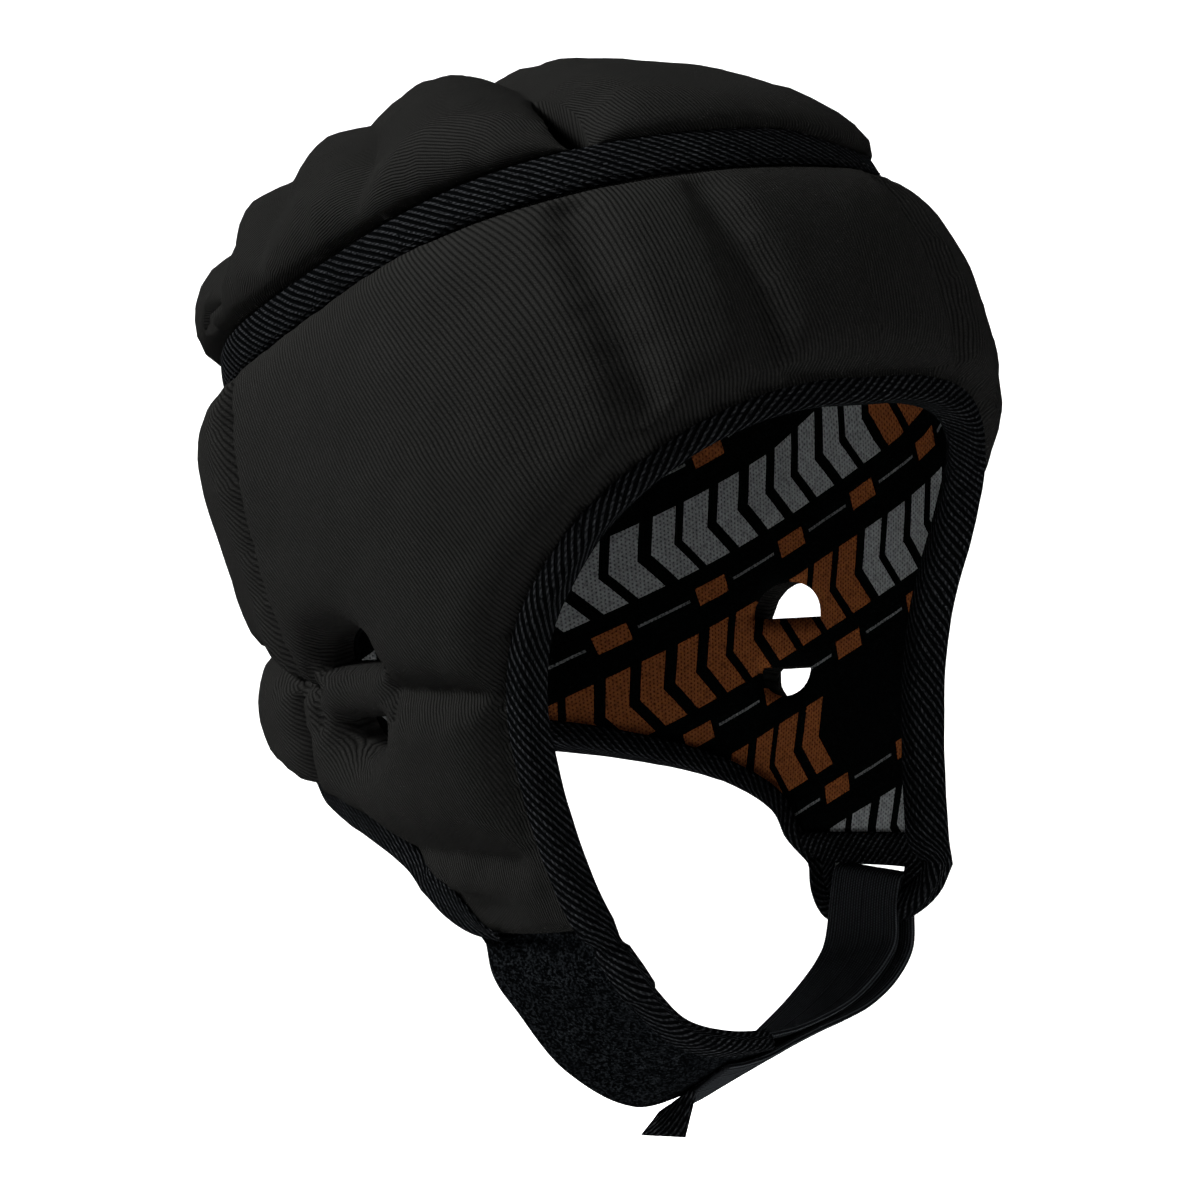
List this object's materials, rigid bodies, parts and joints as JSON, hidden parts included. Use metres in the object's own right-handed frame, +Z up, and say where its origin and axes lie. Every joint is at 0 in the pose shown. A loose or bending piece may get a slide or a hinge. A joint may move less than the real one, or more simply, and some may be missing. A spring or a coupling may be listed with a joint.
{
  "type": "soft protective headgear",
  "caption": "Soft padded sports headgear: lobed crown, padded band with ear openings and cheek flaps, printed lining, taped edges and a hook-and-loop chin strap.",
  "frame": {"origin": "the point on the inside of the crown lining where the top of the wearer's head sits", "axes": "+X to the wearer's left, -Y to the front where the face shows, +Z up"},
  "size_m": [0.196, 0.2329, 0.294],
  "materials": {
    "rib_knit": "matt ribbed knit over foam",
    "mesh_lining": "matt knit mesh with a printed pattern",
    "twill_tape": "herringbone twill tape",
    "loop_pile": "fuzzy loop pile",
    "webbing": "flat knitted webbing"
  },
  "bodies": {
    "root": {"crown_pad": "rib_knit", "band_pad": "rib_knit", "crown_lining": "mesh_lining", "band_lining": "mesh_lining", "crown_binding": "twill_tape", "face_binding": "twill_tape", "neck_binding": "twill_tape", "strap_flap": "twill_tape", "chin_tab": "loop_pile", "chin_strap": "webbing", "pull_tab": "webbing"}
  },
  "joints": []
}
